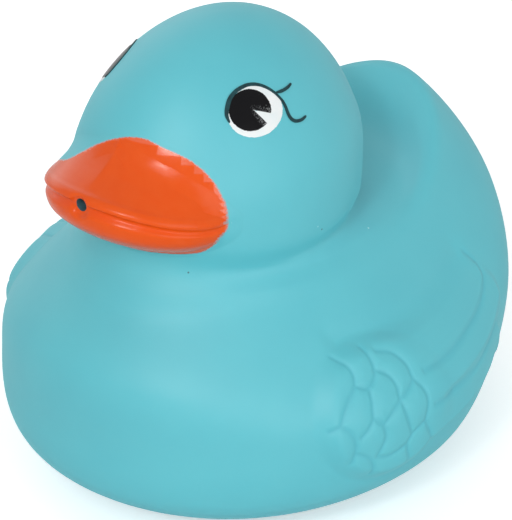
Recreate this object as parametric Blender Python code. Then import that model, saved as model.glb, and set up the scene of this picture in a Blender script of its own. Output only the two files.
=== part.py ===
# Rubber duck: a hollow bath toy moulded in one piece from soft vinyl, with a squirt hole in the bill.
# The duck faces -Y, its left side is +X and +Z is up. The origin is the middle of its flat base.
# Run with: blender --background --python part.py
# All the sizes below are in millimetres, and the finished mesh is in metres.

import math
from collections import namedtuple

import bmesh
import bpy
import numpy as np
from mathutils import Vector
from mathutils.bvhtree import BVHTree

MM = 0.001

# The moulded wall and the squirt hole
WALL = 2.0
HOLE_DIAMETER = 2.6

# Head: an egg with its wide end down
HEAD_Y = -8.8
HEAD_Z = 68.0
HEAD_HALF_WIDTH = 27.4
HEAD_FRONT = 32.1
HEAD_BACK = 31.8
HEAD_HALF_HEIGHT = 31.5
CHEEK_FULLNESS = 0.14
HEAD_LATITUDES = (8, 20, 32, 44, 55, 66, 76, 84)

# Body sections from the flat base up to the neck. Each one is a closed ring round the body's middle:
# its reach to the side, front and tail, then the height of its rim at the side, front and tail.
Section = namedtuple("Section", "side front tail z_side z_front z_tail")
BASE = Section(side=29.5, front=32.3, tail=30.0, z_side=0.0, z_front=0.0, z_tail=0.0)
FOOT = Section(side=36.8, front=40.1, tail=38.1, z_side=3.0, z_front=3.0, z_tail=3.0)
LOW = Section(side=48.0, front=52.3, tail=48.6, z_side=13.0, z_front=12.5, z_tail=13.2)
BELLY = Section(side=50.0, front=53.1, tail=61.0, z_side=26.9, z_front=25.0, z_tail=28.7)
FLANK = Section(side=46.4, front=51.6, tail=62.4, z_side=34.5, z_front=38.5, z_tail=51.1)
CREST = Section(side=32.0, front=42.0, tail=50.0, z_side=51.0, z_front=48.5, z_tail=68.2)
INNER = Section(side=30.4, front=40.5, tail=44.5, z_side=52.6, z_front=53.5, z_tail=66.0)
VALLEY = Section(side=27.8, front=38.8, tail=35.5, z_side=53.4, z_front=58.5, z_tail=57.0)
BODY_SECTIONS = (BASE, FOOT, LOW, BELLY, FLANK, CREST, INNER, VALLEY)
# The neck's rings lie round the head's middle, high at the throat and low at the cheeks
NECK = Section(side=25.4, front=30.6, tail=28.5, z_side=55.5, z_front=63.0, z_tail=57.5)
JOWL = Section(side=27.0, front=31.9, tail=31.0, z_side=60.0, z_front=67.0, z_tail=61.5)
NECK_SECTIONS = (NECK, JOWL)
TAIL_LOBE = 2.4

# Bill: the same kind of sections round its root, from the crest over both lips to the chin
BILL_ROOT_Y = -19.9
BILL_ROOT_Z = 1.3
BILL_TAIL = 7.0
BILL_POLE_RISE = 0.3
CREST_TOP = Section(side=4.0, front=2.0, tail=3.5, z_side=15.0, z_front=15.4, z_tail=15.0)
BRIDGE = Section(side=8.4, front=8.2, tail=BILL_TAIL, z_side=12.3, z_front=13.6, z_tail=12.3)
BROW = Section(side=13.2, front=10.2, tail=BILL_TAIL, z_side=9.8, z_front=11.4, z_tail=9.8)
SADDLE = Section(side=17.2, front=13.6, tail=BILL_TAIL, z_side=5.8, z_front=9.0, z_tail=5.8)
LIP_ROOT = Section(side=19.6, front=17.6, tail=BILL_TAIL, z_side=2.3, z_front=6.9, z_tail=3.0)
LIP_TOP = Section(side=20.4, front=19.6, tail=BILL_TAIL, z_side=1.2, z_front=6.4, z_tail=1.9)
LIP_NOSE = Section(side=20.8, front=20.6, tail=BILL_TAIL, z_side=0.1, z_front=5.3, z_tail=0.9)
MOUTH = Section(side=20.3, front=19.5, tail=BILL_TAIL, z_side=-1.0, z_front=4.0, z_tail=-0.6)
LOWER_LIP = Section(side=20.6, front=20.6, tail=BILL_TAIL, z_side=-2.0, z_front=2.2, z_tail=-1.4)
LIP_BOTTOM = Section(side=19.6, front=19.4, tail=BILL_TAIL, z_side=-4.2, z_front=-1.2, z_tail=-3.4)
CHIN = Section(side=16.4, front=14.4, tail=BILL_TAIL, z_side=-6.4, z_front=-5.2, z_tail=-5.0)
THROAT = Section(side=9.5, front=7.5, tail=5.0, z_side=-8.0, z_front=-7.4, z_tail=-6.8)
BILL_SECTIONS = (
    CREST_TOP, BRIDGE, BROW, SADDLE, LIP_ROOT, LIP_TOP,
    LIP_NOSE, MOUTH, LOWER_LIP, LIP_BOTTOM, CHIN, THROAT,
)

# Wings, laid out on the flank by distance from the front (y) and height (z)
WING_HEIGHT = 2.0
WING_EMBED = 1.0
SHOULDER_Y = -13.0
SHOULDER_Z = 30.5
SHOULDER_LENGTH = 31.0
SHOULDER_HEIGHT = 30.0
SHOULDER_RINGS = (0.97, 0.88, 0.7, 0.4)
SHOULDER_INSET = 0.1
SCALE_LIFT = 0.6
SCALE_RINGS = (1.0, 0.88, 0.5)
SCALE_MIDDLE_LIFT = 0.45
FEATHER_LIFT = 0.9
FEATHER_EDGE_DROP = 0.9
FEATHER_TIP_HEIGHT = 0.7
# A feather across its run, from its lower edge up: share of the half width, share of the full lift
FEATHER_SECTION = ((-1.0, 0.0), (-0.86, 1.0), (-0.3, 0.9), (0.4, 0.65), (0.9, 0.35), (1.0, 0.0))

# Breast feathers: each is an oval scale of this half length and half height about its middle, and
# its rear edge stands on the scale behind it
Scale = namedtuple("Scale", "y z half_length half_height")
SCALES = (
    Scale(-25.0, 37.0, 4.6, 6.3),
    Scale(-26.3, 25.2, 3.8, 5.4),
    Scale(-18.3, 41.4, 3.7, 4.2),
    Scale(-22.8, 32.3, 4.0, 5.2),
    Scale(-22.0, 19.0, 3.7, 4.0),
    Scale(-20.3, 25.8, 3.3, 3.9),
    Scale(-16.4, 34.2, 4.1, 5.0),
    Scale(-14.4, 26.2, 4.1, 5.4),
    Scale(-12.6, 37.6, 4.7, 4.5),
    Scale(-14.0, 18.2, 4.5, 3.6),
    Scale(-9.4, 29.8, 4.1, 5.4),
    Scale(-8.2, 21.2, 4.2, 5.0),
)

# Flight feathers: the run of each one's middle line from under the scales to its tip, as (y, z)
# points, with the half width at the root and near the tip
Feather = namedtuple("Feather", "start bend rear tip root_half_width tip_half_width")
FEATHERS = (
    Feather((-8.0, 39.8), (4.0, 39.8), (16.0, 41.3), (27.5, 44.3), 4.9, 4.1),
    Feather((-8.0, 31.8), (5.0, 31.9), (18.0, 33.3), (32.0, 38.0), 4.4, 4.7),
    Feather((-8.0, 23.0), (5.0, 23.0), (16.0, 24.2), (27.5, 28.0), 5.2, 4.7),
)

# Painted eyes: place on the head as latitude and as degrees round from the front
EYE_LATITUDE = 38.0
EYE_ROUND = 66.0
EYE_HALF_WIDTH = 5.8
EYE_HALF_HEIGHT = 5.4
PUPIL_DIAMETER = 8.4
PUPIL_FORWARD = 0.9
EYE_INNER_SHARE = 0.55
PAINT_FILM = 0.1

# Facets
BODY_COLUMNS = 52
BILL_COLUMNS = 40
CORE_COLUMNS = 30
BODY_STEPS = (2, 2, 2, 2, 3, 2, 2, 2)
GUIDE_COLUMNS = 260
GUIDE_STEPS = 10
PATCH_SIDES = 14
EYE_SIDES = 24
SHOULDER_SIDES = 24
FEATHER_STATIONS = 6
FEATHER_TIP_STATIONS = 3
FEATHER_TIP_BLUNTNESS = 0.4
HOLE_SIDES = 20

# How far off the skin a point starts before it is dropped onto it
DROP_HEIGHT = 10.0

VINYL, BILL_PAINT, EYE_WHITE, EYE_BLACK = range(4)
COLOURS = (
    ("turquoise_vinyl", (0.16, 0.60, 0.63), 0.45),
    ("orange_bill_paint", (0.86, 0.10, 0.01), 0.25),
    ("white_eye_paint", (0.85, 0.87, 0.87), 0.30),
    ("black_eye_paint", (0.01, 0.01, 0.012), 0.25),
)


def clear_scene():
    for old in list(bpy.data.objects):
        bpy.data.objects.remove(old, do_unlink=True)


def make_materials():
    materials = []
    for name, colour, roughness in COLOURS:
        material = bpy.data.materials.new(name)
        material.use_nodes = True
        shader = material.node_tree.nodes["Principled BSDF"]
        shader.inputs["Base Color"].default_value = (*colour, 1.0)
        shader.inputs["Roughness"].default_value = roughness
        shader.inputs["Metallic"].default_value = 0.0
        materials.append(material)
    return materials


# Section rings and lofts


def ring(section, middle_y, columns, lobe=2.0):
    """A section's points, from the front round by +X to the tail and back by -X."""
    angle = np.arange(columns) * 2 * math.pi / columns
    across, along = np.sin(angle), np.cos(angle)
    ahead = along > 0
    reach = np.where(ahead, section.front, section.tail)
    rim = np.where(ahead, section.z_front, section.z_tail)
    power = np.where(ahead, 2.0, lobe)
    height = section.z_side + (rim - section.z_side) * np.abs(along) ** power
    return np.stack([section.side * across, middle_y - reach * along, height], axis=1)


def head_section(latitude):
    """The egg's ring at a latitude in degrees."""
    rise = math.sin(math.radians(latitude))
    run = math.cos(math.radians(latitude))
    height = HEAD_Z + HEAD_HALF_HEIGHT * rise
    return Section(
        side=HEAD_HALF_WIDTH * run * (1 - CHEEK_FULLNESS * rise),
        front=HEAD_FRONT * run,
        tail=HEAD_BACK * run,
        z_side=height,
        z_front=height,
        z_tail=height,
    )


def head_point(latitude, round_angle):
    """The point on the head at a latitude and at degrees round from the front towards +X."""
    section = head_section(latitude)
    turn = math.radians(round_angle)
    ahead = math.cos(turn) > 0
    reach = section.front if ahead else section.tail
    return Vector((section.side * math.sin(turn), HEAD_Y - reach * math.cos(turn), section.z_side))


def blend_rings(rings, steps):
    """Smooth rings through the given ones, with steps[i] new rings in the gap after ring i."""
    first = 2 * rings[0] - rings[1]
    last = 2 * rings[-1] - rings[-2]
    padded = [first, *rings, last]
    smooth = []
    for gap, count in enumerate(steps):
        before, start, end, after = padded[gap:gap + 4]
        for step in range(count):
            t = step / count
            smooth.append(0.5 * (
                2 * start
                + (end - before) * t
                + (2 * before - 5 * start + 4 * end - after) * t ** 2
                + (3 * start - before - 3 * end + after) * t ** 3
            ))
    smooth.append(rings[-1])
    return smooth


def loft(rings, first_middle, last_middle):
    """A closed body through rings of equal length, each end closed by a fan to its middle point."""
    count = len(rings[0])
    points = [tuple(point) for one in rings for point in one]
    points += [tuple(first_middle), tuple(last_middle)]
    bottom, top = len(points) - 2, len(points) - 1
    faces = []
    for row in range(len(rings) - 1):
        for column in range(count):
            beside = (column + 1) % count
            low, high = row * count, (row + 1) * count
            faces.append((low + column, low + beside, high + beside, high + column))
    crown = (len(rings) - 1) * count
    for column in range(count):
        beside = (column + 1) % count
        faces.append((bottom, beside, column))
        faces.append((top, crown + column, crown + beside))
    return points, faces


def skin_rings(columns, body_steps, head_steps=1):
    """The duck's outer skin from the base to the crown, without its bill and wings."""
    body = [ring(section, 0.0, columns, TAIL_LOBE) for section in BODY_SECTIONS]
    neck = [ring(section, HEAD_Y, columns, TAIL_LOBE) for section in NECK_SECTIONS]
    head = [ring(head_section(latitude), HEAD_Y, columns) for latitude in HEAD_LATITUDES]
    steps = [*body_steps, *([head_steps] * (len(neck) + len(head) - 1))]
    rings = blend_rings([*body, *neck, *head], steps)
    return [np.maximum(one, (-np.inf, -np.inf, 0.0)) for one in rings]


def crown_point():
    return 0.0, HEAD_Y, HEAD_Z + HEAD_HALF_HEIGHT


def skin(columns, body_steps, head_steps=1):
    return loft(skin_rings(columns, body_steps, head_steps), (0.0, 0.0, 0.0), crown_point())


def bill_sections():
    """The bill's sections at their heights above the base."""
    lift = HEAD_Z + BILL_ROOT_Z
    return [raised(section, lift) for section in BILL_SECTIONS]


def raised(section, lift):
    return section._replace(
        z_side=section.z_side + lift, z_front=section.z_front + lift, z_tail=section.z_tail + lift
    )


def shrunk(section, wall):
    return section._replace(side=section.side - wall, front=section.front - wall)


def bill_middle_y():
    return HEAD_Y + BILL_ROOT_Y


def bill_body():
    middle = bill_middle_y()
    rings = [ring(section, middle, BILL_COLUMNS) for section in bill_sections()]
    rings = blend_rings(rings[::-1], [2] * (len(rings) - 1))
    low = rings[0].mean(axis=0) - (0, 0, BILL_POLE_RISE)
    high = rings[-1].mean(axis=0) + (0, 0, BILL_POLE_RISE)
    return loft(rings, low, high)


def bill_core():
    """The hollow inside the bill, a wall's thickness under its crest, mouth line and chin."""
    top = [BROW, SADDLE, LIP_ROOT]
    low = [LIP_BOTTOM, CHIN]
    lift = HEAD_Z + BILL_ROOT_Z
    sections = [raised(shrunk(section, WALL), lift - WALL) for section in top]
    sections.append(raised(shrunk(MOUTH, WALL), lift))
    sections += [raised(shrunk(section, WALL), lift + WALL) for section in low]
    middle = bill_middle_y()
    rings = [ring(section, middle, CORE_COLUMNS) for section in sections]
    rings = blend_rings(rings[::-1], [1] * (len(rings) - 1))
    return loft(rings, rings[0].mean(axis=0), rings[-1].mean(axis=0))


def body_core():
    """The hollow inside the body and head: the skin moved in by the wall along its normals."""
    rings = np.array(skin_rings(CORE_COLUMNS, (1,) * len(BODY_SECTIONS)))
    around = np.roll(rings, -1, axis=1) - np.roll(rings, 1, axis=1)
    upward = np.gradient(rings, axis=0)
    normal = np.cross(around, upward)
    normal /= np.linalg.norm(normal, axis=2, keepdims=True)
    inner = rings - normal * WALL
    inner[:, :, 2] = np.maximum(inner[:, :, 2], WALL)
    crown = np.array(crown_point()) - (0, 0, WALL)
    return loft(list(inner), (0.0, 0.0, WALL), crown)


# Raised patches that follow the skin


def guide_surface():
    """A fine copy of the skin that wing feathers and eyes are laid on."""
    steps = (GUIDE_STEPS,) * len(BODY_SECTIONS)
    points, faces = skin(GUIDE_COLUMNS, steps, GUIDE_STEPS // 3)
    return BVHTree.FromPolygons([Vector(point) for point in points], faces)


def lay(guide, start, along, height):
    """Drop a point along a direction onto the skin, and stand it off by height."""
    place, normal, _, _ = guide.ray_cast(Vector(start), Vector(along))
    return place + normal * height


def on_flank(guide, y, z, height):
    return lay(guide, (2 * BELLY.side, y, z), (-1, 0, 0), height)


def shoulder_height(y, z):
    """The wing's soft mound: full in the middle, and down to the skin at its outline."""
    out = math.hypot(2 * (y - SHOULDER_Y) / SHOULDER_LENGTH, 2 * (z - SHOULDER_Z) / SHOULDER_HEIGHT)
    return WING_HEIGHT * math.sqrt(max(0.0, 1 - out ** 4))


def oval(y, z, half_length, half_height, sides):
    """An oval's outline as a function that gives its (y, z) points at a share of its size."""
    def at(share):
        return [
            (
                y + share * half_length * math.cos(2 * math.pi * i / sides),
                z + share * half_height * math.sin(2 * math.pi * i / sides),
            )
            for i in range(sides)
        ]
    return at


def patch(guide, outline, middle, shares, height):
    """A closed body on the flank: its foot in the wall, its top at height(y, z, share)."""
    foot = [on_flank(guide, y, z, -WING_EMBED) for y, z in outline(1.0)]
    rings = [foot]
    for share in shares:
        rings.append([on_flank(guide, y, z, height(y, z, share)) for y, z in outline(share)])
    low = on_flank(guide, *middle, -WING_EMBED)
    high = on_flank(guide, *middle, height(*middle, 0.0))
    return loft([np.array(one) for one in rings], low, high)


def shoulder(guide):
    outline = oval(
        SHOULDER_Y, SHOULDER_Z, SHOULDER_LENGTH / 2, SHOULDER_HEIGHT / 2, SHOULDER_SIDES
    )

    def height(y, z, _):
        return shoulder_height(y, z) - SHOULDER_INSET

    return patch(guide, outline, (SHOULDER_Y, SHOULDER_Z), SHOULDER_RINGS, height)


def scale_patch(guide, scale):
    outline = oval(scale.y, scale.z, scale.half_length, scale.half_height, PATCH_SIDES)

    def height(y, z, share):
        rearward = (y - scale.y) / scale.half_length
        lift = SCALE_LIFT * (SCALE_MIDDLE_LIFT + (1 - SCALE_MIDDLE_LIFT) * rearward)
        edge = SCALE_LIFT if share == 1.0 else 0.0
        return shoulder_height(y, z) + lift - edge

    return patch(guide, outline, (scale.y, scale.z), SCALE_RINGS, height)


def feather_line(feather, t):
    """A cubic curve through a feather's start, bend, rear and tip, and its direction."""
    knots = np.array([feather.start, feather.bend, feather.rear, feather.tip])
    weights = (
        (1 - t) ** 3,
        3 * t * (1 - t) ** 2,
        3 * t ** 2 * (1 - t),
        t ** 3,
    )
    slopes = (
        -3 * (1 - t) ** 2,
        3 * (1 - t) * (1 - 3 * t),
        3 * t * (2 - 3 * t),
        3 * t ** 2,
    )
    place = sum(w * knot for w, knot in zip(weights, knots))
    run = sum(s * knot for s, knot in zip(slopes, knots))
    return place, run / np.linalg.norm(run)


def feather_stations(feather):
    """Where a feather's rings lie along its run, with their half width and height: a taper, then
    a round tip."""
    tip_share = feather.tip_half_width / math.dist(feather.start, feather.tip)
    stations = []
    for i in range(FEATHER_STATIONS):
        t = (1 - tip_share) * i / (FEATHER_STATIONS - 1)
        width = feather.root_half_width + (feather.tip_half_width - feather.root_half_width) * t
        stations.append((t, width, 1.0))
    for i in range(1, FEATHER_TIP_STATIONS + 1):
        turn = math.pi / 2 * i / (FEATHER_TIP_STATIONS + FEATHER_TIP_BLUNTNESS)
        t = 1 - tip_share * (1 - math.sin(turn))
        stations.append((t, feather.tip_half_width * math.cos(turn), math.cos(turn) ** 0.5))
    return stations


def feather_body(guide, feather):
    """A long feather with a round tip, thickest along its lower edge, as rings across its run."""
    rings = []
    for t, width, fullness in feather_stations(feather):
        place, run = feather_line(feather, t)
        side = np.array((-run[1], run[0]))
        top = WING_HEIGHT * (1 - (1 - FEATHER_TIP_HEIGHT) * t ** 2)
        loop = []
        for share, part in FEATHER_SECTION:
            height = fullness * (top - FEATHER_LIFT * (1 - part))
            if part == 0.0:
                height -= FEATHER_EDGE_DROP
            y, z = place + side * width * share
            loop.append(on_flank(guide, y, z, height))
        for share in (1.0, -1.0):
            y, z = place + side * width * share
            loop.append(on_flank(guide, y, z, -WING_EMBED))
        rings.append(np.array(loop))
    return loft(rings, rings[0].mean(axis=0), rings[-1].mean(axis=0))


def eye_patch(guide, forward, half_width, half_height, film):
    """A painted oval on the head, standing proud by its film of paint."""
    middle = head_point(EYE_LATITUDE, EYE_ROUND)
    _, outward, _, _ = guide.find_nearest(middle)
    ahead = Vector((0, -1, 0))
    ahead = (ahead - outward * ahead.dot(outward)).normalized()
    up = outward.cross(ahead)
    up = up if up.z > 0 else -up
    middle = middle + ahead * forward

    def rim(share, height):
        points = []
        for i in range(EYE_SIDES):
            turn = 2 * math.pi * i / EYE_SIDES
            rearward = half_width * share * math.cos(turn)
            upward = half_height * share * math.sin(turn)
            place = middle - ahead * rearward + up * upward
            points.append(lay(guide, place + outward * DROP_HEIGHT, -outward, height))
        return np.array(points)

    rings = [rim(1.0, -WING_EMBED), rim(1.0, film), rim(EYE_INNER_SHARE, film)]
    start = middle + outward * DROP_HEIGHT
    low = lay(guide, start, -outward, -WING_EMBED)
    high = lay(guide, start, -outward, film)
    return loft(rings, low, high)


# Objects


def make_object(name, body, material_index, materials, mirrored=False):
    points, faces = body
    side = -1 if mirrored else 1
    points = [(side * x * MM, y * MM, z * MM) for x, y, z in points]
    faces = [face[::-1] if mirrored else face for face in faces]
    mesh = bpy.data.meshes.new(name)
    mesh.from_pydata(points, [], faces)
    for material in materials:
        mesh.materials.append(material)
    mesh.polygons.foreach_set("material_index", [material_index] * len(mesh.polygons))
    tidy = bmesh.new()
    tidy.from_mesh(mesh)
    bmesh.ops.recalc_face_normals(tidy, faces=tidy.faces)
    tidy.to_mesh(mesh)
    tidy.free()
    piece = bpy.data.objects.new(name, mesh)
    bpy.context.scene.collection.objects.link(piece)
    return piece


def make_tool(name, body, material_index, materials, group, mirrored=False):
    """A body that only shapes the duck, kept in a group for one Boolean."""
    tool = make_object(name, body, material_index, materials, mirrored)
    tool.hide_render = True
    tool.display_type = "WIRE"
    bpy.context.scene.collection.objects.unlink(tool)
    group.objects.link(tool)
    return tool


def make_group(name):
    group = bpy.data.collections.new(name)
    bpy.context.scene.collection.children.link(group)
    return group


def add_boolean(piece, name, operation, group):
    change = piece.modifiers.new(name, "BOOLEAN")
    change.operation = operation
    change.solver = "EXACT"
    change.operand_type = "COLLECTION"
    change.collection = group


def squirt_hole():
    """A round bore along the bill from outside the lips into the bill's hollow, on the mouth line."""
    height = HEAD_Z + BILL_ROOT_Z + MOUTH.z_front
    start = bill_middle_y() - LIP_NOSE.front - WALL
    end = bill_middle_y() - MOUTH.front + 3 * WALL
    rings = []
    for y in (start, end):
        rings.append(np.array([
            (
                HOLE_DIAMETER / 2 * math.sin(2 * math.pi * i / HOLE_SIDES),
                y,
                height + HOLE_DIAMETER / 2 * math.cos(2 * math.pi * i / HOLE_SIDES),
            )
            for i in range(HOLE_SIDES)
        ]))
    return loft(rings, (0, start, height), (0, end, height))


def add_wings(guide, materials, group):
    bodies = [("shoulder", shoulder(guide))]
    for i, scale in enumerate(SCALES):
        bodies.append((f"scale_{i + 1}", scale_patch(guide, scale)))
    for i, feather in enumerate(FEATHERS):
        bodies.append((f"feather_{i + 1}", feather_body(guide, feather)))
    for name, body in bodies:
        make_tool(f"left_{name}", body, VINYL, materials, group)
        make_tool(f"right_{name}", body, VINYL, materials, group, mirrored=True)


def add_eyes(guide, materials, group):
    white = eye_patch(guide, 0.0, EYE_HALF_WIDTH, EYE_HALF_HEIGHT, PAINT_FILM)
    pupil_radius = PUPIL_DIAMETER / 2
    black = eye_patch(guide, PUPIL_FORWARD, pupil_radius, pupil_radius, 2 * PAINT_FILM)
    for side, mirrored in (("left", False), ("right", True)):
        make_tool(f"{side}_eye_white", white, EYE_WHITE, materials, group, mirrored)
        make_tool(f"{side}_eye_pupil", black, EYE_BLACK, materials, group, mirrored)


def build_duck():
    clear_scene()
    materials = make_materials()
    guide = guide_surface()

    duck = make_object("duck", skin(BODY_COLUMNS, BODY_STEPS), VINYL, materials)
    raised_parts = make_group("raised_parts")
    make_tool("bill", bill_body(), BILL_PAINT, materials, raised_parts)
    add_wings(guide, materials, raised_parts)
    add_eyes(guide, materials, raised_parts)
    hollow = make_group("hollow")
    make_tool("body_hollow", body_core(), VINYL, materials, hollow)
    make_tool("bill_hollow", bill_core(), VINYL, materials, hollow)
    make_tool("squirt_hole", squirt_hole(), VINYL, materials, hollow)

    add_boolean(duck, "raised parts", "UNION", raised_parts)
    add_boolean(duck, "hollow", "DIFFERENCE", hollow)
    duck.data.shade_smooth()


build_duck()
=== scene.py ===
# Rubber duck: the looks. A satin turquoise vinyl skin with moulded wings, an orange painted bill with
# a squirt hole, and painted eyes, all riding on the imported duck.
# Sizes and places below are in millimetres, and every mesh is made in metres.

import math
from collections import namedtuple

import bmesh
import bpy
import numpy as np
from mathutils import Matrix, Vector
from mathutils.bvhtree import BVHTree


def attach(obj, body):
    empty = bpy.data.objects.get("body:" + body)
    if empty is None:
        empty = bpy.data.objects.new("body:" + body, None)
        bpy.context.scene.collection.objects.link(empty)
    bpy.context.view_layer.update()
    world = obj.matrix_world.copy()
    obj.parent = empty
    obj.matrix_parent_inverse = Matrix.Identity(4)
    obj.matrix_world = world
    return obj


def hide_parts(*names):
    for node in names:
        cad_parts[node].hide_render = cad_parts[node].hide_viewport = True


MM = 0.001

# Head: an egg with its wide end down
HEAD_Y = -8.8
HEAD_Z = 68.0
HEAD_HALF_WIDTH = 27.4
HEAD_FRONT = 32.1
HEAD_BACK = 31.8
HEAD_HALF_HEIGHT = 31.5
CHEEK_FULLNESS = 0.14
HEAD_LATITUDES = (8, 20, 32, 44, 55, 66, 76, 84, 88.5)

# Body sections from the flat base up to the neck, as reaches and rim heights
Section = namedtuple("Section", "side front tail z_side z_front z_tail")
BASE = Section(side=29.5, front=32.3, tail=30.0, z_side=0.0, z_front=0.0, z_tail=0.0)
FOOT = Section(side=36.8, front=40.1, tail=38.1, z_side=3.0, z_front=3.0, z_tail=3.0)
LOW = Section(side=48.0, front=52.3, tail=48.6, z_side=13.0, z_front=12.5, z_tail=13.2)
BELLY = Section(side=50.0, front=53.1, tail=61.0, z_side=26.9, z_front=25.0, z_tail=28.7)
FLANK = Section(side=46.4, front=51.6, tail=62.4, z_side=34.5, z_front=38.5, z_tail=51.1)
CREST = Section(side=32.0, front=43.4, tail=50.0, z_side=51.0, z_front=48.5, z_tail=68.2)
INNER = Section(side=30.4, front=40.9, tail=44.5, z_side=52.5, z_front=53.5, z_tail=66.0)
VALLEY = Section(side=27.8, front=39.0, tail=35.5, z_side=54.7, z_front=58.5, z_tail=57.0)
BODY_SECTIONS = (BASE, FOOT, LOW, BELLY, FLANK, CREST, INNER, VALLEY)
# The neck's rings lie round the head's middle, high at the throat and low at the cheeks
NECK = Section(side=25.6, front=30.6, tail=28.5, z_side=57.2, z_front=63.0, z_tail=57.5)
JOWL = Section(side=26.8, front=31.9, tail=31.0, z_side=61.0, z_front=67.0, z_tail=61.5)
NECK_SECTIONS = (NECK, JOWL)
TAIL_LOBE = 2.4

# Bill sections round its root, from the crest over both lips to the chin
BILL_ROOT_Y = -19.9
BILL_ROOT_Z = 1.3
BILL_TAIL = 7.0
CREST_TOP = Section(side=4.0, front=2.0, tail=3.5, z_side=15.0, z_front=15.4, z_tail=15.0)
BRIDGE = Section(side=8.4, front=8.2, tail=BILL_TAIL, z_side=12.3, z_front=13.6, z_tail=12.3)
BROW = Section(side=13.2, front=10.2, tail=BILL_TAIL, z_side=9.8, z_front=11.4, z_tail=9.8)
SADDLE = Section(side=17.2, front=13.6, tail=BILL_TAIL, z_side=5.8, z_front=9.0, z_tail=5.8)
LIP_ROOT = Section(side=19.6, front=17.6, tail=BILL_TAIL, z_side=2.3, z_front=6.9, z_tail=3.0)
LIP_TOP = Section(side=20.4, front=19.6, tail=BILL_TAIL, z_side=1.2, z_front=6.4, z_tail=1.9)
LIP_NOSE = Section(side=20.8, front=20.6, tail=BILL_TAIL, z_side=0.1, z_front=5.3, z_tail=0.9)
MOUTH = Section(side=20.3, front=19.5, tail=BILL_TAIL, z_side=-1.0, z_front=4.0, z_tail=-0.6)
LOWER_LIP = Section(side=20.6, front=20.6, tail=BILL_TAIL, z_side=-2.0, z_front=2.2, z_tail=-1.4)
LIP_BOTTOM = Section(side=19.6, front=19.4, tail=BILL_TAIL, z_side=-4.2, z_front=-1.2, z_tail=-3.4)
CHIN = Section(side=16.4, front=14.4, tail=BILL_TAIL, z_side=-6.4, z_front=-5.2, z_tail=-5.0)
THROAT = Section(side=9.5, front=7.5, tail=5.0, z_side=-8.0, z_front=-7.4, z_tail=-6.8)
BILL_SECTIONS = (
    CREST_TOP, BRIDGE, BROW, SADDLE, LIP_ROOT, LIP_TOP, LIP_NOSE,
    MOUTH, LOWER_LIP, LIP_BOTTOM, CHIN, THROAT,
)
# The squirt hole, how far its middle lies above the mouth line, and where the lips are flush round it
HOLE_DIAMETER = 2.6
HOLE_DEPTH = 7.0
HOLE_LIFT = 0.1
HOLE_SIDES = 48
FLUSH_RADIUS = 2.6
# The two facets beside the bill's ridge are hollowed by this much, this far from the ridge
FACET_HOLLOW = 0.45
FACET_MIDDLE = 6.5
# The fillet at the root, how near and far the root can lie from the paint's middle, and where the rays
# that find it start
ROOT_FILLET = 2.2
ROOT_NEAREST = 6.0
ROOT_FURTHEST = 30.0
ROOT_HALVINGS = 14
RAY_START_Y = -120.0

# Edge of the orange paint seen from the front, as (x, z) round the bill's root. The spray mask sat a
# little to the duck's left, so the paint runs over onto the head there.
PAINT_MIDDLE = (0.0, 70.0)
PAINT_EDGE = (
    (20.7, 69.0), (20.5, 71.2), (18.8, 75.4), (16.4, 78.8), (13.1, 81.4), (8.7, 83.1), (4.5, 84.1),
    (0.0, 83.2), (-4.7, 80.9), (-8.5, 78.2), (-11.5, 76.0), (-15.0, 74.2), (-19.0, 71.6),
    (-21.0, 69.2), (-20.2, 66.6), (-17.5, 63.6), (-10.0, 62.0), (0.0, 61.5), (10.0, 61.8),
    (16.0, 62.6), (19.0, 64.8), (20.5, 67.4),
)
# The bill is painted all over ahead of the forward place and above the lowest, and nothing is painted
# behind the back place
PAINT_FORWARD_Y = -43.0
PAINT_FORWARD_SLOPE = 1.5
PAINT_LOWEST_Z = 58.0
PAINT_BACK_Y = -15.0
PAINT_MOST_DEPTH = 10.0
# On the skin the paint doesn't run down onto the throat
THROAT_PAINT_Z = 63.4

# Wings, laid out on the flank as (along y, up z)
WING_HEIGHT = 2.0
SHOULDER_Y = -13.0
SHOULDER_Z = 29.2
SHOULDER_LENGTH = 31.0
SHOULDER_HEIGHT = 26.8
SHOULDER_EDGE = 4.2
SHOULDER_SPREAD = 1.0
FEATHER_LIFT = 0.55
FEATHER_EDGE = 2.2
FEATHER_SPREAD = 0.3
FEATHER_TOP_EDGE = 4.5
FEATHER_THINNING = 0.75
Feather = namedtuple("Feather", "start bend rear tip root_half_width tip_half_width")
FEATHERS = (
    Feather((-8.0, 37.9), (4.0, 37.6), (16.0, 38.8), (28.8, 42.3), 4.2, 3.9),
    Feather((-8.0, 32.0), (5.0, 31.9), (18.0, 33.3), (32.0, 38.0), 4.0, 4.4),
    Feather((-8.0, 24.4), (5.0, 24.5), (16.0, 25.9), (28.0, 29.6), 4.0, 4.2),
)
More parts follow.
